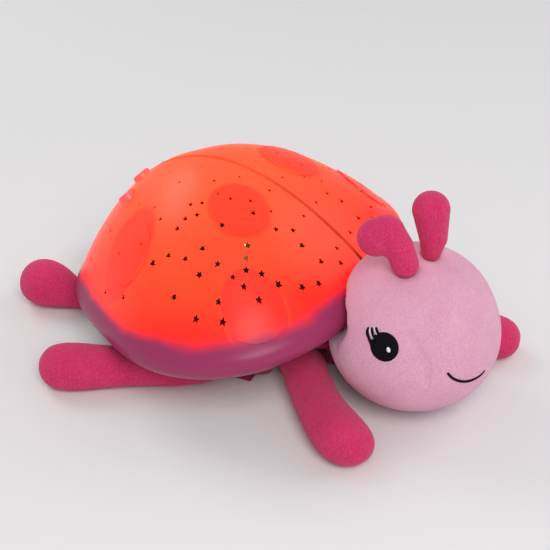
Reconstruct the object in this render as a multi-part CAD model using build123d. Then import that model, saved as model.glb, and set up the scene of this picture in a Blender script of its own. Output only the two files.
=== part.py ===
from build123d import *
import os
from math import atan2, cos, degrees, hypot, pi, radians, sin, sqrt

# Star night light in the form of a plush ladybird. The animal looks along -Y, +Z is up, the floor is z = 0.
# The light module is built level, with z = 0 at its widest line, then tilted nose up onto the plush belly.

os.makedirs("parts", exist_ok=True)

# ---- driving dimensions, millimetres and degrees ----

# light module on the belly
module_tilt = 10.0        # nose up
rim_height = 45.0         # widest line above the floor, below the crown
crown_y = 7.5             # crown of the shell, behind the module's origin

# shell outline, a polar curve about the crown: round shoulders in front, drawn out tail behind
outline_radius = 97.0
nose_reach = 9.0
corner_swell = 8.0
shell_rise = 72.0         # crown above the widest line
shell_wall = 2.2
seam_height = 7.0         # where the dome passes into the rolled rim
rim_depth = 12.0          # rolled rim below the widest line
rim_tuck = 0.075          # share of the radius that the rim has turned in at its lower edge
crown_shares = [0.03, 0.12, 0.25, 0.4, 0.55, 0.68, 0.79, 0.88]

# moulded detail of the shell
ridge_width = 3.0         # groove between the two wing cases
ridge_depth = 0.8
spot_raise = 0.9
star_point_ratio = 0.45
star_axis_height = 14.0   # the stars are cut along rays from the lamps

# tray
tray_gap = 0.4            # between tray and rim
tray_wall = 2.0
tray_floor = 2.0
tray_depth = 15.0         # underside below the widest line
tray_round = 9.0          # how far the underside is drawn in
tray_shoulder = 10.0      # depth at which the rounding starts

# light platform
platform_level = 6.0      # underside, on the tray's edge
platform_thick = 1.6
platform_gap = 0.8

# case screws
boss_places = [(-78.0, -18.0), (78.0, -18.0), (-42.0, 54.0), (42.0, 54.0)]
boss_radius = 4.0
case_screw_radius = 1.5
case_screw_bite = 9.0     # length held in the shell's boss
screw_clearance = 0.25
thread_clearance = 0.05
case_head_radius = 2.9
case_head_height = 2.0
case_head_depth = 10.0    # head's seat above the tray's underside

# batteries, three AAA cells side by side, lying across
cell_radius = 5.25
cell_length = 44.5
cell_nub_radius = 1.9
cell_nub = 0.8
cell_pitch = 11.2
cell_count = 3
bay_length = 52.0
bay_wall = 1.5
bay_clearance = 0.7       # round the cells
contact_thick = 0.4
contact_width = 8.6
spring_radius = 2.9
spring_wire = 0.45

# battery door
door_thick = 2.0
door_ledge = 2.0
door_gap = 0.3
door_ear = 9.5            # beyond the bay at both ends, for the screws
door_screw_radius = 1.5
door_screw_length = 9.0
door_head_radius = 2.8
door_head_height = 1.2

# main board and lamps
board_radius = 27.0
board_thick = 1.6
standoff_height = 4.0
standoff_radius = 2.6
standoff_ring = 21.0
board_screw_radius = 1.0
lamp_radius = 2.5
lamp_ring = 6.0
lamp_body = 5.4
lamp_leg = 1.2

# push buttons at the back of the shell
button_places = [-18.0, 0.0, 18.0]
button_y = 50.0
button_radius = 5.5
button_gap = 0.2
button_proud = 2.4
button_flange = 1.6       # wider than the cap all round
button_flange_thick = 1.2
button_stem_radius = 2.0
button_travel = 0.8
switch_size = 6.0
switch_height = 3.6
plunger_radius = 1.7
plunger_height = 1.0
plunger_gap = 0.1
key_board_depth = 20.0    # top of the key board below the shell's surface
key_board_width = 15.0
key_board_length = 66.0
key_post_x = 29.0
key_post_radius = 2.8

# leads
lead_radius = 0.7
ribbon_width = 6.0
ribbon_thick = 0.9
ribbon_socket_y = 13.0

# plush parts
soft_gap = 0.4
belly_half_width = 50.0
belly_half_length = 68.0
belly_y = 14.0
belly_round = 10.0        # lower edge
chest_at = (0.0, -50.0)
chest_radius = 29.0
chest_height = 50.0
window_margin = 3.0
flap_thick = 1.4
flap_overlap = 4.0
flap_lift = 0.4           # clear of the floor
head_at = (-14.0, -107.0)
head_width = 93.0
head_height = 90.0
head_turn_rest = 23.0     # the head looks to its right by this much
head_swing = 6.0
head_gap = 1.4            # between the head and the module's nose
leg_swing = 12.0
leg_flatness = 0.85       # height of a leg's section over its width
antenna_spread = 9.5      # from the middle of the pair
antenna_aside = 3.0       # middle of the pair, to the head's right
antenna_forward = 4.4     # the same, forward
antenna_base = 92.0       # middle of the round root, half sunk in the head

# leg: root x, root y, heading (0 is forward, 90 is to the right), length, half the width at root, shank, tip
leg_table = {
    "leg_front_right": (-22.0, -41.0, 45.0, 80.0, 12.0, 13.0, 13.5),
    "leg_front_left": (29.0, -58.0, -8.0, 80.0, 12.0, 12.5, 13.0),
    "leg_middle_right": (-51.0, 5.0, 152.5, 80.0, 10.0, 12.5, 13.0),
    "leg_middle_left": (51.0, 5.0, -152.5, 80.0, 10.0, 12.5, 13.0),
    "leg_rear_right": (-11.0, 86.0, 168.0, 52.0, 8.0, 8.2, 16.0),
    "leg_rear_left": (11.0, 86.0, -127.0, 52.0, 8.0, 8.2, 16.0),
}

# antenna: side, radius of the round root, steps from the root: to the head's right, forward, up, radius
antenna_table = {
    "antenna_right": (1, 7.0, [(2.0, -3.0, 9.8, 7.6), (5.0, -8.6, 17.2, 9.2), (9.0, -12.5, 14.2, 9.8)]),
    "antenna_left": (-1, 5.6, [(0.0, 1.0, 8.5, 7.4), (0.0, -1.2, 24.0, 9.8)]),
}

# rounding of a leg's ends, as shares of the radius: reach beyond the end, radius there
end_rounding = [(0.45, 0.89), (0.8, 0.6), (0.96, 0.28)]

# spots on one half of the shell, repeated on the other: x, y, radius
spots = [(31.0, -31.0, 17.0), (53.0, 32.0, 20.0), (71.0, -53.0, 18.0)]

# star cut-outs, grouped as they are scattered over one half of the shell: x, y, point radius
star_groups = {
    "flank": [(65, 8, 2.9), (63, -2, 2.2), (64, -13, 2.1), (58, -21, 2.1), (69, -23, 2.3), (79, -11, 2.3),
              (85, -26, 2.4), (82, -40, 2.7), (76, -36, 2.2), (62, -31, 2.2)],
    "shoulder": [(65, -46, 2.3), (64, -40, 1.8), (66, -54, 2.5), (54, -60, 2.6), (46, -69, 2.5),
                 (37, -74, 2.4), (25, -71, 2.3), (15, -77, 2.2), (9, -73, 1.9), (26, -62, 2.4)],
    "middle": [(47, -42, 2.2), (53, -43, 2.3), (58, -45, 2.2), (55, -52, 2.2), (44, -27, 2.2), (29, -38, 2.2),
               (21, -44, 1.7), (23, -34, 1.9), (29, -50, 2.0), (22, -56, 2.1), (8, -56, 1.7)],
    "saddle": [(51, -3, 2.1), (46, -6, 2.0), (43, -12, 1.9), (38, -6, 1.8), (36, -12, 1.8), (28, -25, 1.8),
               (28, -18, 1.6), (20, -12, 1.7), (10, -22, 1.5), (8, -38, 1.6), (45, 11, 1.9), (37, 19, 1.7)],
    "tail": [(54, 20, 1.9), (51, 39, 1.9), (24, 8, 1.6), (11, 0, 1.5), (14, 20, 1.5), (30, 34, 1.7),
             (62, 48, 2.1), (33, 57, 2.0), (36, 74, 2.2), (18, 78, 2.1), (72, 28, 2.2), (9, 88, 2.1)],
}

# ---- derived values ----

nose_radius = 194.0       # the outline's curvature at the nose

bay_width = cell_count * cell_pitch + bay_clearance
bay_top = -tray_depth + door_thick + 2 * (cell_radius + bay_clearance)
door_length = bay_length + 2 * door_ear
door_width = bay_width + 2 * door_ledge
door_screw_x = bay_length / 2 + door_ear / 2
window_length = door_length + 2 * window_margin
window_width = door_width + 2 * window_margin
tray_inset = shell_wall + tray_gap
board_level = platform_level + platform_thick + standoff_height
lamp_level = board_level + board_thick
module_at = Rot(X=-module_tilt) * Pos(0, 0, rim_height)
sides = ("right", "middle", "left")
low = (Align.CENTER, Align.CENTER, Align.MIN)
high = (Align.CENTER, Align.CENTER, Align.MAX)


# ---- the shell's outline and dome ----

def outline_reach(angle):
    """Distance from the crown to the widest line; angle 0 is the nose."""
    return outline_radius + nose_reach * cos(angle) - corner_swell * cos(3 * angle)


def outline_wire(level, share=1.0, inset=0.0, points=36):
    """Closed outline at a level, shrunk to a share of its radius and moved in by an inset."""
    places = []
    for index in range(points):
        angle = 2 * pi * index / points
        reach = outline_reach(angle) * share - inset
        places.append(Vector(reach * sin(angle), crown_y - reach * cos(angle), level))
    return Wire([Edge.make_spline(places, periodic=True)])


def outline_plate(level, thick, share, inset):
    return extrude(Face(outline_wire(level, share, inset)), amount=thick, dir=(0, 0, 1))


def dome_height(x, y, inset=0.0):
    across, along = x, y - crown_y
    reach = outline_reach(atan2(across, -along)) - inset
    return (shell_rise - inset) * (1 - (across * across + along * along) / reach ** 2)


def dome_slope(x, y):
    """Outward unit normal of the dome above a place of the plan."""
    step = 0.5
    across = (dome_height(x + step, y) - dome_height(x - step, y)) / (2 * step)
    along = (dome_height(x, y + step) - dome_height(x, y - step)) / (2 * step)
    return Vector(-across, -along, 1).normalized()


def form_sections(inset=0.0):
    """Levels and shares of the outline from the crown down over the rolled rim."""
    crown = [((shell_rise - inset) * (1 - share ** 2), share) for share in crown_shares]
    seam = sqrt(1 - seam_height / shell_rise)
    rim = [(seam_height, seam), (0.45 * seam_height, 0.33 * seam + 0.67), (-0.1 * rim_depth, 1.0),
           (-0.42 * rim_depth, 1 - 0.07 * rim_tuck), (-0.75 * rim_depth, 1 - 0.47 * rim_tuck)]
    return crown + rim + [(-rim_depth, 1 - rim_tuck)]


def shell_form(inset=0.0):
    """Solid of the shell's outer form, or of its hollow when inset by the wall."""
    wires = [outline_wire(level, share, inset * share) for level, share in form_sections(inset)]
    return Solid.make_loft(wires, ruled=False)


def star_prism(x, y, size):
    """A five-pointed star drawn out along the ray from the lamps through a place on the dome."""
    lamp = Vector(0, 0, star_axis_height)
    place = Vector(x, y, dome_height(x, y))
    ray = (place - lamp).normalized()
    plane = Plane(origin=place - ray * 8, z_dir=ray)
    corners = []
    for index in range(10):
        reach = size if index % 2 == 0 else size * star_point_ratio
        corners.append((reach * cos(index * pi / 5), reach * sin(index * pi / 5)))
    outline = Wire.make_polygon([plane.from_local_coords((*corner, 0)) for corner in corners])
    return Solid.extrude(Face(outline), ray * 14)


def all_stars():
    places = [star for group in star_groups.values() for star in group]
    return [star_prism(x, y, size) for x, y, size in both_sides(places)]


def on_dome(x, y):
    """Frame on the shell's surface, z outward."""
    return Plane(origin=(x, y, dome_height(x, y)), z_dir=dome_slope(x, y), x_dir=(1, 0, 0))


def button_frame(x):
    """Frame of a push button: all three share the middle one's axis, each starts on the surface above it."""
    axis = dome_slope(0, button_y)
    return Plane(origin=(x, button_y, dome_height(x, button_y)), z_dir=axis, x_dir=(1, 0, 0))


def key_board_frame():
    """Frame on top of the key board, parallel to the middle button's face."""
    middle = button_frame(0)
    return Plane(origin=middle.origin - middle.z_dir * key_board_depth, z_dir=middle.z_dir, x_dir=(1, 0, 0))


def down_to_key_board(x):
    """Distance along the button's axis from the shell's surface to the key board."""
    return key_board_frame().to_local_coords(button_frame(x).origin).Z


def shell_dome():
    hollow = shell_form(shell_wall) + outline_plate(-rim_depth - 1, 1.1, 1 - rim_tuck, shell_wall)
    shell = shell_form() - hollow
    core = shell_form(shell_wall / 2)
    for x, y, radius in both_sides(spots):
        disc = on_dome(x, y).location * Cylinder(radius, 30)
        shell += (shell_form(-spot_raise) & disc) - core
    band = Pos(0, crown_y, shell_rise) * Box(ridge_width, 3 * outline_radius, 2 * shell_rise)
    shell -= band - shell_form(ridge_depth)
    for post in shell_posts():
        shell += post & hollow
    shell = shell.cut(*shell_bores())
    return shell.cut(*all_stars())


def both_sides(places):
    return [(side * x, y, size) for x, y, size in places for side in (-1, 1)]


def shell_posts():
    posts = []
    for x, y in boss_places:
        foot = Pos(x, y, platform_level + platform_thick)
        posts.append(foot * Cylinder(boss_radius, shell_rise, align=low))
    for side in (-1, 1):
        foot = key_board_frame().location * Pos(side * key_post_x, 0, 0)
        posts.append(foot * Cylinder(key_post_radius, 1.5 * key_board_depth, align=low))
    return posts


def shell_bores():
    bores = []
    depth = platform_thick + case_screw_bite + 1
    case_bore = Cylinder(case_screw_radius + thread_clearance, depth, align=low)
    for x, y in boss_places:
        bores.append(Pos(x, y, platform_level) * case_bore)
    for side in (-1, 1):
        foot = key_board_frame().location * Pos(side * key_post_x, 0, -1)
        bores.append(foot * Cylinder(board_screw_radius + thread_clearance, 7, align=low))
    for x in button_places:
        bores.append(button_frame(x).location * Cylinder(button_radius + button_gap, 16))
    return bores


# ---- tray, platform and what they carry ----

def tray_form(shrink=0.0, lift=0.0, top=None):
    """Tray's outer form, or its hollow when shrunk by the wall and lifted by the floor."""
    top = platform_level if top is None else top
    share = 1 - rim_tuck
    levels = [(top, 0.0), (-tray_shoulder, 0.0), (-tray_depth + 1.2, 0.35 * tray_round),
              (-tray_depth, tray_round)]
    wires = [outline_wire(level + (lift if level < 0 else 0), share, tray_inset + shrink + pull)
             for level, pull in levels]
    return Solid.make_loft(wires, ruled=True)


def bay_block(grow):
    """Battery bay from the tray's floor to its ceiling."""
    height = bay_top + tray_depth + grow
    return Pos(0, 0, -tray_depth) * Box(bay_length + 2 * grow, bay_width + 2 * grow, height, align=low)


def base_tray():
    tray = tray_form() - tray_form(tray_wall, tray_floor, platform_level + 1)
    pad_length, pad_width = (2 * (door_gap + bay_wall) + size for size in (door_length, door_width))
    tray += Pos(0, 0, -tray_depth + 0.2) * Box(pad_length, pad_width, door_thick + bay_wall, align=low)
    tray_boss = Cylinder(boss_radius, platform_level + tray_depth - 0.2, align=low)
    for x, y in boss_places:
        tray += Pos(x, y, -tray_depth + 0.2) * tray_boss
    for side in (-1, 1):
        post_height = door_thick + door_screw_length + 1
        tray += Pos(side * door_screw_x, 0, -tray_depth + 0.2) * Cylinder(boss_radius, post_height, align=low)
    tray += bay_block(bay_wall)
    tray -= bay_block(0)
    recess = Box(door_length + 2 * door_gap, door_width + 2 * door_gap, door_thick, align=low)
    tray -= Pos(0, 0, -tray_depth) * recess
    for x, y in boss_places:
        bottom = Pos(x, y, -tray_depth - 1)
        tray -= bottom * Cylinder(case_head_radius + screw_clearance, case_head_depth + 1, align=low)
        tray -= bottom * Cylinder(case_screw_radius + screw_clearance, 2 * tray_depth, align=low)
    screw_hole = Cylinder(door_screw_radius + thread_clearance, door_thick + door_screw_length, align=low)
    for side in (-1, 1):
        tray -= Pos(side * door_screw_x, 0, -tray_depth) * screw_hole
    for side in (-1, 1):
        slot = Pos(side * (bay_length / 2 - 1.5), bay_width / 2 - 3, bay_top - 1)
        tray -= slot * Cylinder(lead_radius + 0.4, bay_wall + 2, align=low)
    return tray


def light_platform():
    share = sqrt(1 - seam_height / shell_rise)
    plate = outline_plate(platform_level, platform_thick, share, shell_wall + platform_gap)
    for index in range(3):
        angle = radians(90 + 120 * index)
        place = Pos(standoff_ring * cos(angle), standoff_ring * sin(angle), platform_level)
        height = platform_thick + standoff_height
        bore = Cylinder(board_screw_radius + thread_clearance, height + 2, align=low)
        plate += place * Cylinder(standoff_radius, height, align=low)
        plate -= place * Pos(0, 0, -1) * bore
    for x, y in boss_places:
        plate -= Pos(x, y, 0) * Cylinder(case_screw_radius + screw_clearance, 4 * platform_level)
    for side in (-1, 1):
        plate -= Pos(side * (bay_length / 2 - 1.5), bay_width / 2 - 3, 0) * Cylinder(lead_radius + 0.6, 40)
    return plate


def pan_screw(radius, length, head_radius, head_height):
    """Screw with its head below z = 0 and its shank up, with a crossed recess."""
    head = Pos(0, 0, -head_height) * Cylinder(head_radius, head_height, align=low)
    head = fillet(head.edges().sort_by(Axis.Z)[0], 0.45 * head_height)
    screw = head + Cylinder(radius, length, align=low)
    for turn in (0, 90):
        bar = Box(1.25 * head_radius, 0.32 * head_radius, 0.9 * head_height)
        screw -= Rot(Z=turn) * Pos(0, 0, -head_height) * bar
    return screw


def case_screws():
    seat = -tray_depth + case_head_depth
    length = platform_level + platform_thick + case_screw_bite - seat
    screw = pan_screw(case_screw_radius, length, case_head_radius, case_head_height)
    return [Pos(x, y, seat) * screw for x, y in boss_places]


def battery_door():
    """Flush door with two ears for the screws and finger grooves."""
    door = Pos(0, 0, -tray_depth) * Box(door_length, door_width, door_thick - 0.05, align=low)
    door = fillet(door.edges().filter_by(Axis.Z), 2.0)
    for side in (-1, 1):
        bottom = Pos(side * door_screw_x, 0, -tray_depth)
        door -= bottom * Cylinder(door_screw_radius + screw_clearance, 3 * door_thick, align=Align.CENTER)
        sink = Cone(door_head_radius + screw_clearance, door_screw_radius, door_head_height, align=low)
        door -= bottom * sink
    for index in range(5):
        groove = Pos(-8 + 4 * index, -door_width / 2 + 5, -tray_depth) * Box(1.2, 6, 0.8)
        door -= groove
    return door


def door_screws():
    screws = []
    for side in (-1, 1):
        head = Cone(door_head_radius, door_screw_radius - 0.2, door_head_height, align=low)
        shank = door_thick + door_screw_length - 1
        screw = head + Cylinder(door_screw_radius - thread_clearance, shank, align=low)
        screw -= Box(1.3 * door_head_radius, 0.7, 1.0)
        screw -= Box(0.7, 1.3 * door_head_radius, 1.0)
        screws.append(Pos(side * door_screw_x, 0, -tray_depth + 0.1) * screw)
    return screws


def cell_place(index):
    """Middle of a cell; its neighbours lie the other way round."""
    y = (index - (cell_count - 1) / 2) * cell_pitch
    z = -tray_depth + door_thick + bay_clearance + cell_radius
    return Pos(0, y, z) * Rot(Z=180 * (index % 2))


def battery_cell(index):
    body = Rot(Y=90) * Cylinder(cell_radius, cell_length - cell_nub)
    body = fillet(body.edges(), 0.5)
    nub = Pos((cell_length - cell_nub) / 2, 0, 0) * Rot(Y=90) * Cylinder(cell_nub_radius, cell_nub, align=low)
    return cell_place(index) * Pos(-cell_nub / 2, 0, 0) * (body + nub)


def contact_plate():
    """Plate against the bay's end wall at +X, in a cell's frame, with a dimple for the nub."""
    wall = bay_length / 2
    plate = Pos(wall - contact_thick / 2, 0, 0) * Box(contact_thick, contact_width, contact_width)
    reach = wall - contact_thick - cell_length / 2
    pad = Pos(wall - contact_thick, 0, 0) * Rot(Y=-90) * Cylinder(cell_nub_radius, reach - 0.05, align=low)
    return plate + pad


def contact_spring():
    """Plate and coil spring against the bay's end wall at -X, in a cell's frame."""
    wall = -bay_length / 2
    solid = Pos(wall + contact_thick / 2, 0, 0) * Box(contact_thick, contact_width, contact_width)
    reach = bay_length / 2 - contact_thick - cell_length / 2 - 0.05
    turns = max(3, int(reach / (1.8 * spring_wire)))
    pitch = (reach - 2 * spring_wire) / (turns - 1)
    for turn in range(turns):
        x = wall + contact_thick + 0.7 * spring_wire + turn * pitch
        radius = spring_radius * (1 - 0.12 * turn / turns)
        solid += Pos(x, 0, 0) * Rot(Y=90) * Torus(radius, spring_wire)
    return solid


def battery_contacts():
    return [cell_place(index) * contact_plate() for index in range(cell_count)]


def battery_springs():
    return [cell_place(index) * contact_spring() for index in range(cell_count)]


def main_board():
    board = Pos(0, 0, board_level) * Cylinder(board_radius, board_thick, align=low)
    for index in range(3):
        angle = radians(90 + 120 * index)
        place = Pos(standoff_ring * cos(angle), standoff_ring * sin(angle), board_level)
        board -= place * Cylinder(board_screw_radius + screw_clearance, 3 * board_thick)
    return board


def board_screws():
    screws = []
    for index in range(3):
        angle = radians(90 + 120 * index)
        place = Pos(standoff_ring * cos(angle), standoff_ring * sin(angle), lamp_level) * Rot(X=180)
        screws.append(place * pan_screw(board_screw_radius, board_thick + 3.4, 1.9, 1.3))
    return screws


def lamp(index):
    """A domed lamp on the main board, one of three round the middle."""
    angle = radians(-90 + 120 * index)
    body = Pos(0, 0, lamp_leg) * Cylinder(lamp_radius, lamp_body, align=low)
    dome = Pos(0, 0, lamp_leg + lamp_body) * Sphere(lamp_radius)
    collar = Pos(0, 0, lamp_leg) * Cylinder(lamp_radius + 0.4, 1.0, align=low)
    legs = Pos(-0.9, 0, 0) * Box(0.5, 0.5, lamp_leg + 1, align=low)
    legs += Pos(0.9, 0, 0) * Box(0.5, 0.5, lamp_leg + 1, align=low)
    return Pos(lamp_ring * cos(angle), lamp_ring * sin(angle), lamp_level) * (body + dome + collar + legs)


def board_parts():
    """Timer chip, capacitor, two resistors and the lead sockets."""
    on_board = Pos(0, 0, lamp_level)
    chip = on_board * Pos(-14, -4, 0) * Box(5, 6, 1.6, align=low)
    can = Cylinder(2.5, 6, align=low)
    capacitor = on_board * Pos(14, -6, 0) * fillet(can.edges().sort_by(Axis.Z)[-1], 0.5)
    resistors = [on_board * Pos(13, y, 0) * Box(3.2, 1.6, 0.6, align=low) for y in (2, 5)]
    socket = on_board * Pos(0, ribbon_socket_y, 0) * Box(ribbon_width + 2, 3, 3.5, align=low)
    return [chip, capacitor, *resistors, socket]


# ---- push buttons ----

def push_button(x):
    cap = Cylinder(button_radius, button_proud + shell_wall + 2.5, align=high)
    cap = Pos(0, 0, button_proud) * fillet(cap.edges().sort_by(Axis.Z)[-1], 1.6)
    seat = -flange_depth(x)
    flange = Pos(0, 0, seat) * Cylinder(button_radius + button_flange, button_flange_thick, align=high)
    below = down_to_key_board(x) - switch_height - plunger_height - plunger_gap
    stem = Pos(0, 0, seat) * Cylinder(button_stem_radius, below + seat, align=high)
    column = Pos(0, 0, 0) * Cylinder(button_radius, -seat, align=high)
    return button_frame(x).location * (cap + column + flange + stem)


def flange_depth(x):
    """How far below the surface the flange starts: clear of the wall, which slopes away beside the middle."""
    frame = button_frame(x)
    reach = button_radius + button_flange
    deepest = 0.0
    for index in range(24):
        angle = index * pi / 12
        place = frame.from_local_coords((reach * cos(angle), reach * sin(angle), 0))
        depth = (place.Z - dome_height(place.X, place.Y, shell_wall)) * frame.z_dir.Z
        deepest = max(deepest, depth)
    return deepest + 0.5


def key_plunger(x):
    frame = key_board_frame().location * Pos(x, 0, switch_height - 0.9)
    return frame * Cylinder(plunger_radius, 0.9 + plunger_height, align=low)


def key_switches():
    switches = []
    for x in button_places:
        body = Box(switch_size, switch_size, switch_height, align=low)
        well = Pos(0, 0, switch_height - 0.9 - button_travel - 0.1)
        body -= well * Cylinder(plunger_radius + 0.1, 4, align=low)
        switches.append(key_board_frame().location * Pos(x, 0, 0) * body)
    return switches


def key_board():
    board = Box(key_board_length, key_board_width, board_thick, align=high)
    board = fillet(board.edges().filter_by(Axis.Z), 1.5)
    for side in (-1, 1):
        hole = Cylinder(board_screw_radius + screw_clearance, 3 * board_thick)
        board -= Pos(side * key_post_x, 0, 0) * hole
    return key_board_frame().location * board


def key_board_screws():
    screws = []
    for side in (-1, 1):
        frame = key_board_frame().location * Pos(side * key_post_x, 0, -board_thick)
        screws.append(frame * pan_screw(board_screw_radius, board_thick + 4.5, 1.9, 1.3))
    return screws


def key_ribbon():
    """Flat lead from the key board's underside down to its socket on the main board."""
    frame = key_board_frame()
    start = frame.from_local_coords((0, -2, -board_thick))
    away = frame.from_local_coords((0, -2, -board_thick - 9))
    end = Vector(0, ribbon_socket_y, lamp_level + 3.5)
    corners = [(start.Y, start.Z), (away.Y, away.Z), (end.Y, end.Z + 8), (end.Y, end.Z)]
    path = Plane.YZ * FilletPolyline(*corners, radius=3)
    section = Plane(origin=start, z_dir=away - start, x_dir=(1, 0, 0)) * Rectangle(ribbon_width, ribbon_thick)
    return sweep(section, path=path)


def battery_lead(side):
    """Round lead from the bay's ceiling up through the platform to the main board's edge."""
    x, y = side * (bay_length / 2 - 1.5), bay_width / 2 - 3
    start = (x, y, bay_top - 0.5)
    up = (x, y, board_level + board_thick + 5)
    over = (side * 12, y - 3, lamp_level + 5)
    end = (side * 12, y - 3, lamp_level)
    path = FilletPolyline(start, up, over, end, radius=2.2)
    return sweep(Plane(origin=start, z_dir=(0, 0, 1)) * Circle(lead_radius), path=path)


# ---- plush parts, in the floor's frame ----

def leg_stations(name):
    """Distance along the leg, height of the middle, half the width and half the height of each section."""
    length, root, shank, tip = leg_table[name][3:]
    calf = 0.35 * shank + 0.65 * tip
    rows = [(-reach * root, root, share * root) for reach, share in end_rounding[::-1]]
    rows += [(0.0, root, root), (0.42 * length, shank, shank), (0.7 * length, calf, calf), (length, tip, tip)]
    rows += [(length + reach * tip, tip, share * tip) for reach, share in end_rounding]
    return [(along, leg_flatness * middle, half, leg_flatness * half) for along, middle, half in rows]


def leg_frame(name, swing=0.0):
    """A leg lies on the floor along x of this frame and swings about an upright line through its root."""
    x, y, heading = leg_table[name][:3]
    return Pos(x, y, 0) * Rot(Z=-90 - heading + swing)


def leg_solid(name):
    sections = []
    for reach, middle, half_width, half_height in leg_stations(name):
        sections.append(Pos(reach, 0, middle) * Rot(Y=90) * Ellipse(half_height, half_width))
    return leg_frame(name) * Solid.make_loft([section.wire() for section in sections])


def leg_room(name, swing):
    """Space kept free in the belly round a leg's shank."""
    length, root, shank = leg_table[name][3:6]
    width = 2 * (max(root, shank) + soft_gap)
    height = 2 * leg_flatness * max(root, shank) + soft_gap
    block = Box(0.42 * length, width, height + 1, align=(Align.MIN, Align.CENTER, Align.MIN))
    return leg_frame(name, swing) * Pos(0, 0, -1) * block


def root_room(name):
    x, y, heading, length, root = leg_table[name][:5]
    height = 2 * leg_flatness * root + soft_gap
    return Pos(x, y, -1) * Cylinder(root + soft_gap, height + 1, align=low)


def head_blank(grow=0.0):
    """Round head with full cheeks, its chin just off the floor."""
    half, tall = head_width / 2 + grow, head_height + grow
    chin = 0.05 * head_height - grow
    cheek = [(0.3 * half, chin), (0.62 * half, 0.11 * tall), (0.86 * half, 0.23 * tall), (half, 0.45 * tall),
             (0.93 * half, 0.66 * tall), (0.72 * half, 0.85 * tall), (0.4 * half, 0.965 * tall), (0, tall)]
    with BuildPart() as head:
        with BuildSketch(Plane.XZ):
            with BuildLine():
                Line((0, chin), (0.3 * half, chin))
                Spline(*cheek)
                Line((0, tall), (0, chin))
            make_face()
        revolve(axis=Axis.Z)
    return Pos(*head_at, 0) * head.part


def nose_room():
    """The module's nose with its profile carried straight across the head: the nose is so blunt that a flat
    front, set back a little, clears it over the head's whole turn."""
    gap = head_gap + nose_radius * (1 - cos(radians(head_swing)))
    reach = outline_reach(0)
    front = [(crown_y - reach * share - gap, level) for level, share in form_sections()[3:]]
    rim_y, rim_level = front[-1]
    corners = [(0, front[0][1])] + front
    corners += [(rim_y, rim_level - gap), (rim_y + tray_round, -tray_depth - gap), (0, -tray_depth - gap)]
    outline = Wire.make_polygon([Vector(-head_width, y, z) for y, z in corners])
    return module_at * Solid.extrude(Face(outline), Vector(2 * head_width, 0, 0))


def turned_about_head(shape, angle):
    return Pos(*head_at, 0) * Rot(Z=angle) * Pos(-head_at[0], -head_at[1], 0) * shape


def plush_head():
    """The head, hollowed behind, square to the middle of the nose's curve."""
    away = nose_radius - head_at[1]
    head = head_blank() - turned_about_head(nose_room(), degrees(atan2(head_at[0], away)))
    for name in antenna_table:
        head -= Pos(antenna_places(name)[0]) * Sphere(antenna_table[name][1] + soft_gap)
    return head


def plush_belly():
    """Low cushion under the tray: its chest runs forward to the head, its window opens to the batteries."""
    height = 2 * rim_height
    cushion = Pos(0, belly_y, 0) * extrude(Ellipse(belly_half_width, belly_half_length), amount=height)
    belly = fillet(cushion.edges().sort_by(Axis.Z)[0], belly_round)
    with BuildPart() as chest:
        with BuildSketch(Plane.XZ):
            with Locations((0, chest_height / 2)):
                Ellipse(chest_radius, chest_height / 2)
            split(bisect_by=Plane.YZ)
        revolve(axis=Axis.Z)
    belly += Pos(*chest_at, 0) * chest.part
    belly -= module_at * outline_plate(-rim_depth - soft_gap, 3 * shell_rise, 1.0, -soft_gap)
    belly -= module_at * tray_form(-soft_gap, -soft_gap, 0)
    belly -= head_blank(soft_gap)
    for name in leg_table:
        belly -= root_room(name)
        if "rear" not in name:
            for swing in (-leg_swing, 0, leg_swing):
                belly -= leg_room(name, swing)
    belly -= window_block(0, height)
    return belly - flap_block(soft_gap / 2)


def window_block(grow, height):
    """Upright opening through the belly to the battery door."""
    return Pos(0, window_y(), -1) * Box(window_length + 2 * grow, window_width + 2 * grow, height, align=low)


def window_y():
    """The door's middle as seen from below, once the module is tilted."""
    return (module_at * Pos(0, 0, -tray_depth)).position.Y


def flap_block(grow):
    length, width = window_length + 2 * (flap_overlap + grow), window_width + 2 * (flap_overlap + grow)
    return Pos(0, window_y(), 0) * Box(length, width, flap_lift + flap_thick + grow, align=low)


def battery_flap():
    """Cloth cover of the window, closed by hook and loop along its rear edge."""
    length, width = window_length + 2 * flap_overlap, window_width + 2 * flap_overlap
    flap = Pos(0, window_y(), flap_lift) * Box(length, width, flap_thick, align=low)
    return fillet(flap.edges().filter_by(Axis.Z), 5)


def antenna_places(name):
    """Root and further middles of an antenna; side 1 is on the head's right."""
    side, ball, steps = antenna_table[name]
    turn = radians(head_turn_rest)
    right, forward = Vector(-cos(turn), sin(turn), 0), Vector(-sin(turn), -cos(turn), 0)
    root = Vector(*head_at, antenna_base)
    root += right * (antenna_aside + side * antenna_spread) + forward * antenna_forward
    bends = [right * aside + forward * ahead + Vector(0, 0, up) for aside, ahead, up, _ in steps]
    return [root] + [root + bend for bend in bends]


def antenna_solid(name):
    """Stuffed feeler on a round root, through a few round sections, rounded at its tip."""
    places = antenna_places(name)
    ball, steps = antenna_table[name][1:]
    radii = [ball] + [step[3] for step in steps]
    solid = Pos(places[0]) * Sphere(ball)
    for start, end, thin, thick in zip(places, places[1:], radii, radii[1:]):
        away = end - start
        cone = Plane(origin=start, z_dir=away).location * Cone(thin, thick, away.length, align=low)
        solid = solid + cone + Pos(end) * Sphere(thick)
    return solid


# ---- the assembly ----

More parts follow.
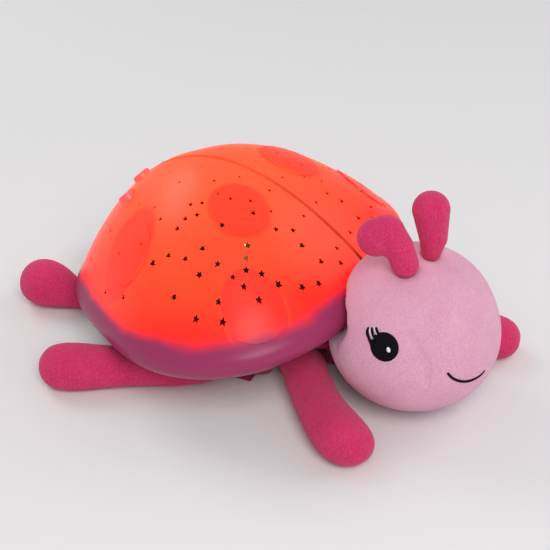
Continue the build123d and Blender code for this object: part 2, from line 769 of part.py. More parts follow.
def build_nodes():
    """Every node's shape or list of shapes, in the floor's frame."""
    nodes = {}
    level = {
        "shell_dome": shell_dome(), "base_tray": base_tray(), "light_platform": light_platform(),
        "case_screws": case_screws(), "battery_door": battery_door(), "door_screws": door_screws(),
        "battery_contacts": battery_contacts(), "battery_springs": battery_springs(),
        "main_board": main_board(), "board_screws": board_screws(), "board_parts": board_parts(),
        "key_board": key_board(), "key_switches": key_switches(), "key_board_screws": key_board_screws(),
        "key_ribbon": key_ribbon(), "battery_lead_red": battery_lead(1),
        "battery_lead_black": battery_lead(-1),
    }
    for index in range(cell_count):
        level[f"battery_{index + 1}"] = battery_cell(index)
    for index, colour in enumerate(("red", "green", "blue")):
        level[f"lamp_{colour}"] = lamp(index)
    for x, side in zip(button_places, sides):
        level[f"button_{side}"] = push_button(x)
        level[f"plunger_{side}"] = key_plunger(x)
    for name, shape in level.items():
        shapes = shape if isinstance(shape, list) else [shape]
        nodes[name] = [module_at * each for each in shapes]
    nodes["head"] = [plush_head()]
    nodes["belly"] = [plush_belly()]
    nodes["battery_flap"] = [battery_flap()]
    for name in leg_table:
        nodes[name] = [leg_solid(name)]
    for name in antenna_table:
        nodes[name] = [antenna_solid(name)]
    return nodes


def centre_shift(nodes):
    """Moves the middle of the whole outline over the origin."""
    box = Compound([shape for shapes in nodes.values() for shape in shapes]).bounding_box()
    return Vector(-(box.min.X + box.max.X) / 2, -(box.min.Y + box.max.Y) / 2, 0)


if __name__ == "__main__":
    nodes = build_nodes()
    shift = centre_shift(nodes)
    print("shift", tuple(round(value, 4) for value in shift))
    for name, shapes in nodes.items():
        placed = [Pos(shift) * shape for shape in shapes]
        result = placed[0] if len(placed) == 1 else Compound(placed)
        export_step(result, f"parts/{name}.step")
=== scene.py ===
import bpy, math
from mathutils import Matrix, Vector, noise
from mathutils.bvhtree import BVHTree


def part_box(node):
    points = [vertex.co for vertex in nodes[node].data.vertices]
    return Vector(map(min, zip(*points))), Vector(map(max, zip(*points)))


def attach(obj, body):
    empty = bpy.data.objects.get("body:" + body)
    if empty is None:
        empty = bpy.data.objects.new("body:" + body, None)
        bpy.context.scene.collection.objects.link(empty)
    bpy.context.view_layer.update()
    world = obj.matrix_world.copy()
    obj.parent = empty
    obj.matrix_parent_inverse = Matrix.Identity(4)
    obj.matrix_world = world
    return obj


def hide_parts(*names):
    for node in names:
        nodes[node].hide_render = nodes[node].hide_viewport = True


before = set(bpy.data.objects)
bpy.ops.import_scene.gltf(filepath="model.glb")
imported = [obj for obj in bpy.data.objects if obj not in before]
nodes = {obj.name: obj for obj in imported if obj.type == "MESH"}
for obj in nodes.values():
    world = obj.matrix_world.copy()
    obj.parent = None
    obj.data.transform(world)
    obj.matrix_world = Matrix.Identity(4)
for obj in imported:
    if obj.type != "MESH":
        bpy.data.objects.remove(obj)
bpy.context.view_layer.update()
mm = 0.001
scene = bpy.context.scene
print("frame loaded", len(nodes), "nodes")

# the light module stands level at first and then tips nose up about the x axis
# outline: half width, and what the front adds and takes off, in mm
module = dict(tilt=math.radians(10), height=45 * mm, shift=0.36 * mm, crownY=7.5 * mm, rise=72 * mm,
              outline=(97.0, 33.0, 32.0))


class Wire:
    # one output in a material; an expression on it adds its Math nodes
    def __init__(self, finish, socket):
        self.finish, self.socket = finish, socket

    def math(self, operation, *values):
        return self.finish.add("Math", {"operation": operation}, dict(enumerate(values)))

    def __add__(self, other):
        return self.math("ADD", self, other)

    def __sub__(self, other):
        return self.math("SUBTRACT", self, other)

    def __rsub__(self, other):
        return self.math("SUBTRACT", other, self)

    def __mul__(self, other):
        return self.math("MULTIPLY", self, other)

    def __truediv__(self, other):
        return self.math("DIVIDE", self, other)

    def __rtruediv__(self, other):
        return self.math("DIVIDE", other, self)

    def __neg__(self):
        return self.math("MULTIPLY", self, -1.0)

    def __abs__(self):
        return self.math("ABSOLUTE", self)

    __radd__, __rmul__ = __add__, __mul__

    def most(self, other):
        return self.math("MAXIMUM", self, other)

    def root(self):
        return self.math("SQRT", self)


class Finish:
    # one material: a Principled surface and the nodes that feed it
    def __init__(self, name, **fixed):
        self.mat = bpy.data.materials.new(name)
        self.mat.use_nodes = True
        self.tree = self.mat.node_tree
        self.surface = next(n for n in self.tree.nodes if n.type == "BSDF_PRINCIPLED")
        self.set(**fixed)

    def plug(self, socket, value):
        if isinstance(value, Wire):
            self.tree.links.new(value.socket, socket)
        elif isinstance(value, (tuple, list)) and len(value) == 3 and len(socket.default_value) == 4:
            socket.default_value = (*value, 1.0)
        else:
            socket.default_value = value

    def set(self, **values):
        for name, value in values.items():
            self.plug(self.surface.inputs[name.replace("_", " ")], value)
        return self

    def add(self, kind, settings=None, values=None, out=0):
        # any node: its type, its settings first, then the values or wires of its sockets
        made = self.tree.nodes.new("ShaderNode" + kind)
        for name, value in (settings or {}).items():
            if name == "stops":
                ramp = made.color_ramp
                while len(ramp.elements) < len(value):
                    ramp.elements.new(0.5)
                for element, (place, colour) in zip(ramp.elements, value):
                    element.position, element.color = place, (*colour, 1.0)
            else:
                setattr(made, name, value)
        for name, value in (values or {}).items():
            self.plug(made.inputs[name], value)
        return Wire(self, made.outputs[out])

    def place(self):
        return self.add("TexCoord", out="Object")

    def noise(self, where, scale, detail=2.0, rough=0.5, distort=0.0):
        return self.add("TexNoise", {}, {"Vector": where, "Scale": scale, "Detail": detail, "Roughness": rough,
                                         "Distortion": distort}, "Fac")

    def step(self, value, low, high):
        # soft step from 0 at low to 1 at high
        return self.add("MapRange", {"interpolation_type": "SMOOTHSTEP"},
                        {"Value": value, "From Min": low, "From Max": high, "To Min": 0.0, "To Max": 1.0})

    def mix(self, factor, first, second):
        return self.add("Mix", {"data_type": "RGBA", "blend_type": "MIX"}, {0: factor, 6: first, 7: second}, 2)

    def axes(self, vector):
        split = self.add("SeparateXYZ", {}, {"Vector": vector}).socket.node
        return [Wire(self, split.outputs[i]) for i in range(3)]

    def bump(self, height, strength, distance, under=None):
        values = {"Height": height, "Strength": strength, "Distance": distance}
        if under is not None:
            values["Normal"] = under
        return self.add("Bump", {}, values)


def paint(obj, finish):
    obj.data.materials.clear()
    obj.data.materials.append(finish.mat)
    for face in obj.data.polygons:
        face.material_index = 0
    return obj


# the tinted shell: the glow's colours from the top down, then the band that stays unlit
shellLook = dict(
    litFrom=6.0 * mm, litTo=13.0 * mm,     # the glow fades in above the light platform
    farLift=11.0 * mm,                     # and starts lower at the far shoulder
    top=(1.0, 0.125, 0.032), middle=(1.0, 0.062, 0.012), low=(0.95, 0.012, 0.006), spot=(0.80, 0.014, 0.008),
    # the lip colour is a painted highlight along the bottom edge of the shell
    unlit=(0.34, 0.035, 0.115), lipHighlight=(0.55, 0.16, 0.28), litBody=(0.45, 0.010, 0.010),
    inside=(0.10, 0.012, 0.012), lipHighlightFrom=-11.5 * mm, lipHighlightTo=-9.5 * mm,
    glow=0.9, cloud=22.0, waver=12.0 * mm, spotDepth=0.55, ringHighlightDepth=0.3,
    spots=((31, -31, 17), (53, 32, 20), (71, -53, 18)))     # across, back and radius in mm, on both sides


def moduleAxes(finish):
    # the part's frame to the light module's own level frame
    x, y, z = finish.axes(finish.place())
    y = y - module["shift"]
    c, s = math.cos(module["tilt"]), math.sin(module["tilt"])
    return x, y * c - z * s, y * s + z * c - module["height"]


def shellFinish():
    look = shellLook
    shell = Finish("tintedShell", IOR=1.46, Specular_IOR_Level=0.25)
    x, y, z = moduleAxes(shell)
    across, along = x, y - module["crownY"]
    reach = (across * across + along * along).root().most(0.0005)
    turn = -along / reach
    half, longer, rounder = module["outline"]
    outline = (turn * longer - turn * turn * turn * rounder + half) * mm
    share = reach / outline
    dome = (1.0 - share * share) * module["rise"]
    outer = shell.step(z - dome, -1.5 * mm, -0.4 * mm).most(shell.step(share, 0.965, 0.975))
    # large soft differences from the lamps and the ribs behind the wall
    cloud = shell.noise(shell.place(), look["cloud"], 2.0, 0.45)
    height = z / module["rise"] + (cloud - 0.5) * 0.35
    glow = shell.add("ValToRGB", {"stops": [(0.12, look["low"]), (0.42, look["middle"]), (0.95, look["top"])]},
                     {"Fac": height}, "Color")
    side = abs(x)
    inSpot, ring = None, None
    for cx, cy, radius in look["spots"]:
        dx, dy = side - cx * mm, y - cy * mm
        away = (dx * dx + dy * dy).root()
        disc = 1.0 - shell.step(away, (radius - 0.8) * mm, (radius + 0.2) * mm)
        # the glow is deeper red in the spots, and a thin ring at each spot's edge is lifted towards the top
        # colour: a painted highlight
        edge = disc * shell.step(away, (radius - 2.4) * mm, (radius - 0.8) * mm)
        inSpot = disc if inSpot is None else inSpot.most(disc)
        ring = edge if ring is None else ring.most(edge)
    glow = shell.mix(inSpot * look["spotDepth"], glow, look["spot"])
    glow = shell.mix(ring * look["ringHighlightDepth"], glow, look["top"])
    farSide = shell.step(x, 4 * mm, 34 * mm) * shell.step(-y, -15 * mm, 45 * mm) * look["farLift"]
    lit = shell.step(z + farSide + (cloud - 0.5) * look["waver"], look["litFrom"], look["litTo"])
    strength = lit * outer * (0.82 + 0.36 * cloud)
    # a thin lighter band along the bottom lip: a painted highlight on the shell's lower edge
    lipHighlight = 1.0 - shell.step(z, look["lipHighlightFrom"], look["lipHighlightTo"])
    body = shell.mix(lipHighlight, look["unlit"], look["lipHighlight"])
    body = shell.mix(lit, body, look["litBody"])
    # the inner faces are painted dark red: painted shade inside the shell, so the star holes look dark
    body = shell.mix(1.0 - outer, body, look["inside"])
    fine = shell.noise(shell.place(), 900.0, 2.0, 0.6)
    shell.set(Base_Color=body, Roughness=0.26 + 0.12 * fine, Normal=shell.bump(fine, 0.06, 0.3 * mm),
              Emission_Color=shell.mix(strength, (0, 0, 0), glow), Emission_Strength=look["glow"],
              Subsurface_Weight=0.1, Subsurface_Scale=0.01)
    return shell


def hardFinish(name, colour, rough=0.4, metal=0.0, grain=500.0, relief=0.05, fade=0.12, **fixed):
    # moulded or plated surfaces: a fine grain and small shifts in colour and gloss
    hard = Finish(name, Metallic=metal, **fixed)
    spread = hard.noise(hard.place(), grain, 3.0, 0.6)
    worn = hard.noise(hard.place(), grain / 9, 2.0, 0.5)
    darker = tuple(v * (1 - fade) for v in colour)
    return hard.set(Base_Color=hard.mix(worn, darker, colour), Roughness=(rough - 0.06) + 0.12 * spread,
                    Normal=hard.bump(spread, relief, 0.2 * mm))


def buttonFinish():
    button = hardFinish("buttonCaps", (0.80, 0.10, 0.12), 0.3)
    # a faint painted glow on the caps, standing in for the lamp light that shines through them
    button.set(Emission_Color=(0.9, 0.09, 0.05), Emission_Strength=0.35)
    return button


def lampFinish(name, colour, light, strength):
    lamp = hardFinish(name, colour, 0.08)
    return lamp.set(Emission_Color=light, Emission_Strength=strength)


shell = nodes["shell_dome"]
paint(shell, shellFinish())
finishes = {
    "tray": hardFinish("paleTray", (0.74, 0.66, 0.70), 0.45),
    # the light platform is painted a dusky red, darker than its white plastic: painted shade inside the shell
    "platform": hardFinish("lightPlatform", (0.45, 0.20, 0.22), 0.6),
    "door": hardFinish("batteryDoor", (0.72, 0.64, 0.68), 0.42),
    "steel": hardFinish("screwSteel", (0.62, 0.62, 0.64), 0.3, 1.0),
    "spring": hardFinish("platedSpring", (0.8, 0.8, 0.82), 0.18, 1.0),
    "board": hardFinish("boardGreen", (0.03, 0.20, 0.09), 0.4),
    "chips": hardFinish("chipBlack", (0.03, 0.03, 0.033), 0.5),
    "switch": hardFinish("switchBlack", (0.05, 0.05, 0.055), 0.45),
    "plunger": hardFinish("plungerIvory", (0.8, 0.77, 0.7), 0.35),
    "ribbon": hardFinish("greyRibbon", (0.6, 0.6, 0.63), 0.5),
    "leadRed": hardFinish("redLead", (0.6, 0.03, 0.03), 0.45),
    "leadBlack": hardFinish("blackLead", (0.03, 0.03, 0.03), 0.45),
    "cell": hardFinish("cellSleeve", (0.22, 0.25, 0.30), 0.3),
    "button": buttonFinish(),
    "lampRed": lampFinish("redLamp", (0.9, 0.1, 0.05), (1.0, 0.30, 0.08), 6.0),
    "lampGreen": lampFinish("greenLamp", (0.1, 0.7, 0.2), (1.0, 0.62, 0.12), 4.0),
    "lampBlue": lampFinish("blueLamp", (0.1, 0.25, 0.9), (1.0, 0.25, 0.12), 3.0),
}
wearers = {
    "tray": ["base_tray"], "platform": ["light_platform"], "door": ["battery_door"],
    "steel": ["case_screws", "board_screws", "key_board_screws", "door_screws", "battery_contacts"],
    "spring": ["battery_springs"], "board": ["main_board", "key_board"], "chips": ["board_parts"],
    "switch": ["key_switches"], "plunger": ["plunger_right", "plunger_middle", "plunger_left"],
    "ribbon": ["key_ribbon"], "leadRed": ["battery_lead_red"], "leadBlack": ["battery_lead_black"],
    "cell": ["battery_1", "battery_2", "battery_3"], "button": ["button_right", "button_middle", "button_left"],
    "lampRed": ["lamp_red"], "lampGreen": ["lamp_green"], "lampBlue": ["lamp_blue"],
}
for finishName, names in wearers.items():
    for nodeName in names:
        paint(nodes[nodeName], finishes[finishName])
print("shell and hard parts painted")


# short pile: a light and a deep tone for each colour of plush
plushLook = dict(
    head=((0.88, 0.47, 0.60), (0.66, 0.29, 0.43)),
    limb=((0.78, 0.045, 0.17), (0.52, 0.018, 0.095)),
    belly=((0.46, 0.022, 0.12), (0.28, 0.008, 0.06)),
    pile=3400.0, strokes=(2100.0, 2100.0, 800.0), mottle=60.0, tips=0.20,
    paleTip=(0.98, 0.50, 0.74))


def plushFinish(name, light, deep):
    # short pile: fine strokes where it lies over, a finer nap between them, soft edge sheen
    plush = Finish(name, Roughness=0.92, Sheen_Weight=0.5, Sheen_Roughness=0.4, Specular_IOR_Level=0.1)
    plush.set(Sheen_Tint=tuple(min(1.0, v * 0.7 + 0.3) for v in light))
    where = plush.place()
    combed = plush.add("Mapping", {"vector_type": "POINT"}, {"Vector": where, "Scale": plushLook["strokes"]},
                       "Vector")
    stroke = plush.noise(combed, 1.0, 3.0, 0.6, 0.6)
    patch = plush.noise(where, plushLook["mottle"], 2.0, 0.5, 0.3)
    nap = plush.noise(where, plushLook["pile"], 2.0, 0.7)
    shade = plush.step(stroke * 0.55 + patch * 0.15 + nap * 0.3, 0.32, 0.68)
    tips = plush.step(stroke, 0.44, 0.76) * plushLook["tips"]
    pale = tuple(v * 0.6 + 0.4 * top for v, top in zip(light, plushLook["paleTip"]))
    tufts = plush.bump(nap, 0.5, 0.3 * mm)
    plush.set(Base_Color=plush.mix(tips, plush.mix(shade, deep, light), pale),
              Normal=plush.bump(stroke, 0.8, 0.5 * mm, tufts))
    return plush


headPlush = plushFinish("headPlush", *plushLook["head"])
limbPlush = plushFinish("limbPlush", *plushLook["limb"])
bellyPlush = plushFinish("bellyPlush", *plushLook["belly"])

# bend, extra girth of the foot, lean of the foot and loss of length, in mm
legShape = dict(leg_front_right=(-4.2, 0.9, 0.0, 0.8), leg_front_left=(2.0, 0.9, 0.0, 0.0),
                leg_middle_right=(0.0, 1.8, -2.8, 2.0), leg_middle_left=(0.0, 1.8, 2.8, 2.0),
                leg_rear_right=(0.0, 0.0, -3.5, 3.0), leg_rear_left=(0.0, 0.0, 0.0, 2.0))
legShares = dict(foot=0.5, rise=2.8, bend=0.28)     # where along a leg its foot and its bend begin
# even skins over the CAD solids: voxel, shrink and cap in mm, smooth in rounds
# full: share by which a skin that sank is drawn back out, fill: how firm the stuffing is
stuffed = dict(
    plushHead=dict(node="head", body="head", finish=headPlush, slot="head_plush",
                   voxel=3.4, shrink=1.0, cap=4.0, smooth=6, fill=0.8, full=0.75),
    plushBelly=dict(node="belly", body="module", finish=bellyPlush, slot="body_plush",
                    voxel=4.0, shrink=0.8, cap=4.0, smooth=4, fill=0.6, full=0.6),
    antennaRight=dict(node="antenna_right", body="antenna_right", finish=limbPlush, slot="limb_plush",
                      voxel=2.2, shrink=0.0, cap=2.5, smooth=7, fill=0.5, full=0.92),
    antennaLeft=dict(node="antenna_left", body="antenna_left", finish=limbPlush, slot="limb_plush",
                     voxel=2.2, shrink=0.0, cap=2.5, smooth=7, fill=0.5, full=0.92),
)
for legName, changes in legShape.items():
    stuffed["plush_" + legName] = dict(node=legName, body=legName, finish=limbPlush, slot="limb_plush",
                                       voxel=3.6, shrink=0.8, cap=4.0, smooth=4, fill=0.7, full=0.9,
                                       plump=changes)
# the stuffing pushes from inside for a few frames
stuffing = dict(pressure=4.0, quality=6, mass=0.3, stretch=12.0, bend=0.6, frames=20)


def bake(obj):
    # applies every modifier
    graph = bpy.context.evaluated_depsgraph_get()
    made = bpy.data.meshes.new_from_object(obj.evaluated_get(graph))
    obj.modifiers.clear()
    obj.data = made
    return obj


def skinFrom(pieceName, spec):
    # a closed even skin over the CAD solid, a little smaller, ready to be stuffed
    obj = bpy.data.objects.new(pieceName, nodes[spec["node"]].data.copy())
    scene.collection.objects.link(obj)
    remesh = obj.modifiers.new("even", "REMESH")
    remesh.mode, remesh.voxel_size = "VOXEL", spec["voxel"] * mm
    soften = obj.modifiers.new("soften", "SMOOTH")
    soften.iterations, soften.factor = spec["smooth"], 0.5
    bake(obj)
    shrunk = [v.co - v.normal * spec["shrink"] * mm for v in obj.data.vertices]
    for vertex, place in zip(obj.data.vertices, shrunk):
        vertex.co = place
    return obj


def stuffAll(skins):
    # pressure fills every skin at once; a point moves no further than its cap
    starts = {name: [v.co.copy() for v in obj.data.vertices] for name, obj in skins.items()}
    for name, obj in skins.items():
        cloth = obj.modifiers.new("stuffing", "CLOTH")
        cloth.settings.use_pressure, cloth.settings.uniform_pressure_force = True, stuffing["pressure"]
        cloth.settings.quality, cloth.settings.mass = stuffing["quality"], stuffing["mass"]
        cloth.settings.tension_stiffness = cloth.settings.compression_stiffness = stuffing["stretch"]
        cloth.settings.bending_stiffness = stuffing["bend"]
        cloth.settings.effector_weights.gravity = 0.0
        cloth.collision_settings.use_collision = False
    for number in range(1, stuffing["frames"] + 1):
        scene.frame_set(number)
    for name, obj in skins.items():
        bake(obj)
        cap = stuffed[name]["cap"] * mm
        moves = [v.co - start for v, start in zip(obj.data.vertices, starts[name])]
        drift = sum(moves, Vector()) / len(moves)
        for vertex, start, move in zip(obj.data.vertices, starts[name], moves):
            move -= drift
            vertex.co = start + move * min(1.0, cap / max(move.length, 1e-9))
    scene.frame_set(1)


skins = {name: skinFrom(name, spec) for name, spec in stuffed.items()}
print("plush skins cut")
stuffAll(skins)
print("plush skins stuffed")


# places on the face are (turn, lift) in degrees about the head's middle, thread sizes are in mm
headLook = dict(
    middle=Vector((-14.0 * mm, module["shift"] - 107.0 * mm, 45.0 * mm)), yaw=23.0,
    dart=((50.0, 29.0), (45.5, 24.0), (41.0, 16.5), (38.0, 9.0), (37.0, 2.0), (37.5, -5.0)),
    dartDepth=1.5 * mm, dartWidth=1.6 * mm, edgeRise=0.12, sunk=0.5,
    eye=(67.0, 19.0), farEye=(-78.0, 19.0), eyeRadius=7.7, eyeRise=0.7,
    shine=(-3.6, -0.8), shineSize=(1.35, 1.9), shineRise=0.95, shineLean=0.35,
    lashThread=dict(radius=0.85, ends=(1.0, 0.4), above=0.3),
    paleThread=dict(radius=0.4, ends=(0.7, 0.5), above=0.35),
    smileThread=dict(radius=0.8, ends=(0.75, 0.3)),
    lashes=(((8.5, -1.5), (12.5, 3.0), (14.8, 6.2), (14.6, 9.3)), ((6.5, 3.0), (10.0, 6.0), (12.0, 10.2)),
            ((3.6, 5.5), (6.8, 8.4), (9.0, 11.2))),
    paleLashes=(((8.6, 3.2), (12.2, 6.4), (13.4, 9.6)), ((6.4, 6.6), (9.2, 9.2), (10.5, 11.2))),
    mouth=((24.4, 2.4), (21.6, -1.6), (17.4, -5.2), (12.4, -8.0), (7.0, -9.6), (1.6, -10.2), (-3.2, -9.8),
           (-7.0, -8.4)))


def faceRay(turn, lift):
    # direction from the head's middle: turn is degrees to the animal's right of its nose, lift above level
    angle = math.radians(headLook["yaw"] + turn)
    up = math.radians(lift)
    return Vector((-math.sin(angle) * math.cos(up), -math.cos(angle) * math.cos(up), math.sin(up)))


def groove(obj, line, depth, width):
    # a sewn seam pulled in along a line of points
    for vertex in obj.data.vertices:
        near = min((closest(vertex.co, a, b) - vertex.co).length for a, b in zip(line, line[1:]))
        if near < 3 * width:
            vertex.co -= vertex.normal * depth * math.exp(-(near / width) ** 2)


def closest(point, a, b):
    # nearest place on the run from a to b
    along = b - a
    t = limited((point - a).dot(along) / along.length_squared)
    return a + along * t


def finer(obj):
    subdivide = obj.modifiers.new("finer", "SUBSURF")
    subdivide.levels = subdivide.render_levels = 1
    return bake(obj)


def fillOut(obj, solid, share):
    # draws what sank inside the CAD solid back out towards its surface
    tree = treeOf(solid)
    for vertex in obj.data.vertices:
        near, normal, _, gap = tree.find_nearest(vertex.co)
        if (vertex.co - near).dot(normal) < 0 and gap < 8 * mm:
            vertex.co += (near - vertex.co) * share


def limited(share):
    return max(0.0, min(1.0, share))


def plump(obj, aside, swell, lean, short):
    # bends a leg sideways along the floor, fattens and leans its foot, and shortens it
    places = [v.co.copy() for v in obj.data.vertices]
    tip = max(places, key=lambda p: p.xy.length)
    root = max(places, key=lambda p: (p - tip).length)
    line, reach = (tip - root).normalized(), (tip - root).length
    across = Vector((-line.y, line.x, 0)).normalized()
    floor = min(p.z for p in places)
    foot, rise, bend = legShares["foot"], legShares["rise"], legShares["bend"]
    grown = [place + v.normal * swell * limited(((place - root).dot(line) / reach - foot) * rise)
             for v, place in zip(obj.data.vertices, places)]
    for vertex, place in zip(obj.data.vertices, grown):
        t = limited((place - root).dot(line) / reach * (1 + bend) - bend)
        vertex.co = place + across * (aside * math.sin(math.pi * t) + lean * t * t) - line * short * t
        vertex.co.z = max(vertex.co.z, floor)


def treeOf(obj):
    return BVHTree.FromPolygons([v.co for v in obj.data.vertices], [p.vertices[:] for p in obj.data.polygons])


def onHead(tree, turn, lift, above=0.0):
    # place on the head's skin, above in mm, and the skin's normal there
    ray = faceRay(turn, lift)
    hit = tree.ray_cast(headLook["middle"] + ray * 0.2, -ray)
    return hit[0] + hit[1] * above * mm, hit[1]


for name, obj in skins.items():
    finer(obj)
    fillOut(obj, nodes[stuffed[name]["node"]], stuffed[name]["full"])
    if "plump" in stuffed[name]:
        plump(obj, *(v * mm for v in stuffed[name]["plump"]))
    for face in obj.data.polygons:
        face.use_smooth = True
headTree = treeOf(skins["plushHead"])
dartLine = [onHead(headTree, turn, lift)[0] for turn, lift in headLook["dart"]]
groove(skins["plushHead"], dartLine, headLook["dartDepth"], headLook["dartWidth"])
headTree = treeOf(skins["plushHead"])


def newPiece(name, verts, faces, finish, body, smooth=True):
    mesh = bpy.data.meshes.new(name)
    mesh.from_pydata([tuple(v) for v in verts], [], faces)
    mesh.update()
    for face in mesh.polygons:
        face.use_smooth = smooth
    obj = bpy.data.objects.new(name, mesh)
    scene.collection.objects.link(obj)
    paint(obj, finish)
    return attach(obj, body)


def threadFinish(name, colour, lift=0.12):
    # satin stitches lying side by side
    thread = Finish(name, Roughness=0.6, Specular_IOR_Level=0.06)
    wave = thread.add("TexWave", {"wave_type": "BANDS", "bands_direction": "DIAGONAL"},
                      {"Vector": thread.place(), "Scale": 420.0, "Distortion": 1.5, "Detail": 1.0}, "Fac")
    # the raised band of each stitch is painted a little lighter: a painted sheen along the threads
    sheenLighter = tuple(v + lift for v in colour)
    return thread.set(Base_Color=thread.mix(wave * 0.5, colour, sheenLighter),
                      Normal=thread.bump(wave, 0.5, 0.3 * mm))


blackThread = threadFinish("blackThread", (0.004, 0.003, 0.004), 0.006)
whiteThread = threadFinish("whiteThread", (0.85, 0.83, 0.84), 0.08)


def patchOnHead(name, turn, lift, width, tall, rise, finish, slot, lean=0.0, rings=7, spokes=36):
    # an embroidered oval that follows the head, thickest in its middle and closed underneath
    centre, normal = onHead(headTree, turn, lift)
    up = (Vector((0, 0, 1)) - normal * normal.z).normalized()
    across = normal.cross(up)
    up, across = up * math.cos(lean) + across * math.sin(lean), across * math.cos(lean) - up * math.sin(lean)
    verts, faces = [], []
    for layer in (1, 0):
        for ring in range(rings + 1):
            r = ring / rings
            top = rise * math.sqrt(max(0.0, 1 - r ** 4)) + headLook["edgeRise"]
            for spoke in range(spokes):
                angle = 2 * math.pi * spoke / spokes
                flat = across * (math.cos(angle) * width * r) + up * (math.sin(angle) * tall * r)
                hit = headTree.ray_cast(centre + flat * mm + normal * 0.01, -normal)
                verts.append(hit[0] + normal * (top if layer else -headLook["sunk"]) * mm)
    count = (rings + 1) * spokes
    for layer in (0, 1):
        for ring in range(rings):
            for spoke in range(spokes):
                a, b = ring * spokes + spoke, ring * spokes + (spoke + 1) % spokes
                quad = [layer * count + i for i in (a, b, b + spokes, a + spokes)]
                faces.append(quad if layer == 0 else quad[::-1])
    for spoke in range(spokes):
        a, b = rings * spokes + spoke, rings * spokes + (spoke + 1) % spokes
        faces.append([a, b, b + count, a + count])
    return newPiece(name, verts, faces, finish, "head")


def threadOnHead(name, line, finish, slot, radius, ends, above=0.15):
    # a raised stitched line; ends are the shares of its radius left at its start and finish
    verts, faces, around = [], [], 8
    places = [onHead(headTree, turn, lift, above) for turn, lift in line]
    for index, (place, normal) in enumerate(places):
        before, after = places[max(0, index - 1)][0], places[min(len(places) - 1, index + 1)][0]
        sideways = (after - before).normalized().cross(normal).normalized()
        t = index / (len(places) - 1)
        full = math.sin(math.pi * t) ** 0.5
        r = radius * (full + (1 - full) * (ends[0] if t < 0.5 else ends[1])) * mm
        for spoke in range(around):
            angle = 2 * math.pi * spoke / around
            verts.append(place + sideways * math.cos(angle) * r + normal * math.sin(angle) * r * 0.7)
    for index in range(len(places) - 1):
        for spoke in range(around):
            a, b = index * around + spoke, index * around + (spoke + 1) % around
            faces.append([a, b, b + around, a + around])
    faces.append(list(range(around))[::-1])
    faces.append([(len(places) - 1) * around + spoke for spoke in range(around)])
    return newPiece(name, verts, faces, finish, "head")


def along(points, count=24):
    # smooth run through a few (turn, lift) places
    ends = [points[0], *points, points[-1]]
    run = []
    for step in range(count):
        t = step / (count - 1) * (len(points) - 1)
        k = min(int(t), len(points) - 2)
        f = t - k
        p0, p1, p2, p3 = ends[k], ends[k + 1], ends[k + 2], ends[k + 3]
        run.append(tuple(0.5 * (2 * b + (c - a) * f + (2 * a - 5 * b + 4 * c - d) * f * f
                                + (3 * b - a - 3 * c + d) * f ** 3) for a, b, c, d in zip(p0, p1, p2, p3)))
    return run


def sewEye(word, side, place):
    look = headLook
    turn, lift = place
    radius = look["eyeRadius"]
    patchOnHead("eye" + word, turn, lift, radius, radius, look["eyeRise"], blackThread, "chips")
    dx, dy = look["shine"]
    patchOnHead("eyeShine" + word, turn + side * dx, lift + dy, *look["shineSize"], look["shineRise"],
                whiteThread, "plunger", lean=side * look["shineLean"], rings=3, spokes=20)
    for number, lash in enumerate(look["lashes"]):
        line = along([(turn + side * a, lift + b) for a, b in lash], 12)
        threadOnHead(f"lash{word}{number + 1}", line, blackThread, "chips", **look["lashThread"])
    for number, lash in enumerate(look["paleLashes"]):
        line = along([(turn + side * a, lift + b) for a, b in lash], 10)
        threadOnHead(f"paleLash{word}{number + 1}", line, whiteThread, "plunger", **look["paleThread"])


sewEye("Right", 1, headLook["eye"])
sewEye("Left", -1, headLook["farEye"])
threadOnHead("smile", along(headLook["mouth"], 44), blackThread, "chips", **headLook["smileThread"])
print("face stitched")

for name, spec in stuffed.items():
    obj = skins[name]
    paint(obj, spec["finish"])
    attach(obj, spec["body"])
    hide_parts(spec["node"])


# the cloth lies a little inside its solid, with a thicker hem
flapLook = dict(cuts=28, inset=0.3 * mm, puff=0.1 * mm, weave=60, hem=0.25 * mm, hemWide=0.1, lift=0.15 * mm,
                sink=0.25 * mm)


def flapCloth():
    # flat cloth cover with a bound edge, in the place of its plain solid
    look, (low, high) = flapLook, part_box("battery_flap")
    verts, faces, cut = [], [], look["cuts"]
    for layer in (0, 1):
        for j in range(cut + 1):
            for i in range(cut + 1):
                u, v = i / cut * 2 - 1, j / cut * 2 - 1
                edge = 1 - max(abs(u), abs(v))
                x = (low.x + high.x) / 2 + u * ((high.x - low.x) / 2 - look["inset"])
                y = (low.y + high.y) / 2 + v * ((high.y - low.y) / 2 - look["inset"])
                puff = look["puff"] * noise.noise(Vector((x * look["weave"], y * look["weave"], layer)))
                hem = look["hem"] if edge < look["hemWide"] else 0.0
                z = low.z + look["lift"] - hem * 0.3 if layer == 0 else high.z - look["sink"] + hem * 0.6
                verts.append((x, y, z + puff))
    count = (cut + 1) ** 2
    for layer in (0, 1):
        for j in range(cut):
            for i in range(cut):
                a = layer * count + j * (cut + 1) + i
                quad = [a, a + 1, a + cut + 2, a + cut + 1]
                faces.append(quad[::-1] if layer == 0 else quad)
    border = [i for i in range(cut)] + [(j * (cut + 1) + cut) for j in range(cut)]
    border += [cut * (cut + 1) + cut - i for i in range(cut)] + [(cut - j) * (cut + 1) for j in range(cut)]
    for a, b in zip(border, border[1:] + border[:1]):
        faces.append([a, b, b + count, a + count])
    cloth = newPiece("flapCloth", verts, faces, bellyPlush, "battery_flap")
    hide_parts("battery_flap")
    return cloth, high.x - low.x, high.y - low.y


flap, flapLong, flapWide = flapCloth()
print("flap sewn")


# pale floor, three softboxes; each lamp's place, power and size
studio = dict(
    floor=(0.80, 0.79, 0.785), reach=6.0, world=0.44, target=(0, 0, 50 * mm),
    lamps=dict(keySoftbox=((-0.9, -0.75, 1.15), 13.5, 0.9), fillSoftbox=((0.9, -0.9, 0.9), 4.5, 1.2),
               rimSoftbox=((0.3, 1.1, 1.0), 5.5, 0.9)))


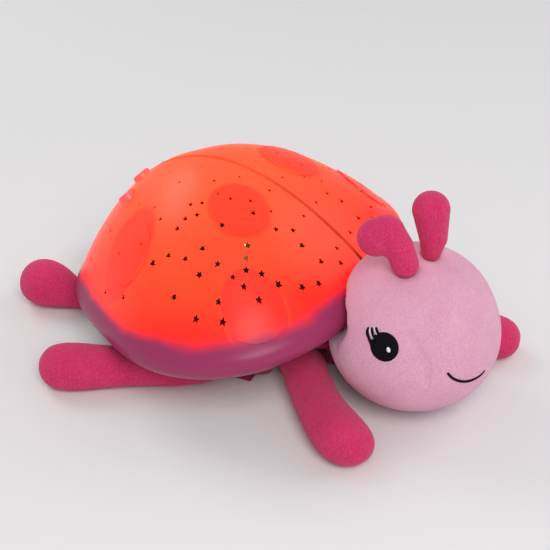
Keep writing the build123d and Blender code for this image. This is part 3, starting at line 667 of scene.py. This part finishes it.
def studioFloor():
    size = studio["reach"]
    mesh = bpy.data.meshes.new("floor")
    corners = [(-size, -size, 0), (size, -size, 0), (size, size, 0), (-size, size, 0)]
    mesh.from_pydata(corners, [], [(0, 1, 2, 3)])
    floor = bpy.data.objects.new("floor", mesh)
    scene.collection.objects.link(floor)
    finish = Finish("paleFloor", Roughness=0.7)
    weave = finish.noise(finish.place(), 60.0, 2.0)
    finish.set(Base_Color=finish.mix(weave, studio["floor"], tuple(v * 0.985 for v in studio["floor"])))
    paint(floor, finish)


def softLight(name, place, power, size):
    lamp = bpy.data.lights.new(name, "AREA")
    lamp.energy, lamp.shape, lamp.size = power, "DISK", size
    obj = bpy.data.objects.new(name, lamp)
    scene.collection.objects.link(obj)
    obj.location = place
    obj.rotation_mode = "QUATERNION"
    obj.rotation_quaternion = (Vector(studio["target"]) - Vector(place)).to_track_quat("-Z", "Y")


def studioWorld():
    world = bpy.data.worlds.new("paleRoom")
    scene.world = world
    world.use_nodes = True
    background = world.node_tree.nodes["Background"]
    background.inputs[0].default_value = (0.95, 0.96, 1.0, 1.0)
    background.inputs[1].default_value = studio["world"]


# lens in mm for a 36 mm sensor, shift in shares of its width, angles in degrees
camera = dict(azimuth=-61.25, elevation=32.23, away=0.7484, target=(0.0, module["shift"], 50 * mm), roll=-2.76,
              lens=36 * 1300 / 550, shift=(26.7 / 550, -11.94 / 550))


def studioCamera():
    a, e, roll = (math.radians(camera[k]) for k in ("azimuth", "elevation", "roll"))
    back = Vector((math.sin(a) * math.cos(e), -math.cos(a) * math.cos(e), math.sin(e)))
    right = Vector((math.cos(a), math.sin(a), 0))
    up = back.cross(right)
    rolledRight = right * math.cos(roll) + up * math.sin(roll)
    rolledUp = up * math.cos(roll) - right * math.sin(roll)
    data = bpy.data.cameras.new("camera")
    data.lens, data.sensor_width = camera["lens"], 36.0
    data.shift_x, data.shift_y = camera["shift"]
    data.clip_start, data.clip_end = 0.01, 50.0
    obj = bpy.data.objects.new("camera", data)
    scene.collection.objects.link(obj)
    turn = Matrix((rolledRight, rolledUp, back)).transposed()
    obj.matrix_world = Matrix.Translation(Vector(camera["target"]) + back * camera["away"]) @ turn.to_4x4()
    scene.camera = obj


studioFloor()
studioWorld()
studioCamera()
for lampName, lampSpec in studio["lamps"].items():
    softLight(lampName, *lampSpec)
scene.view_settings.view_transform = "Standard"
print("studio lit")
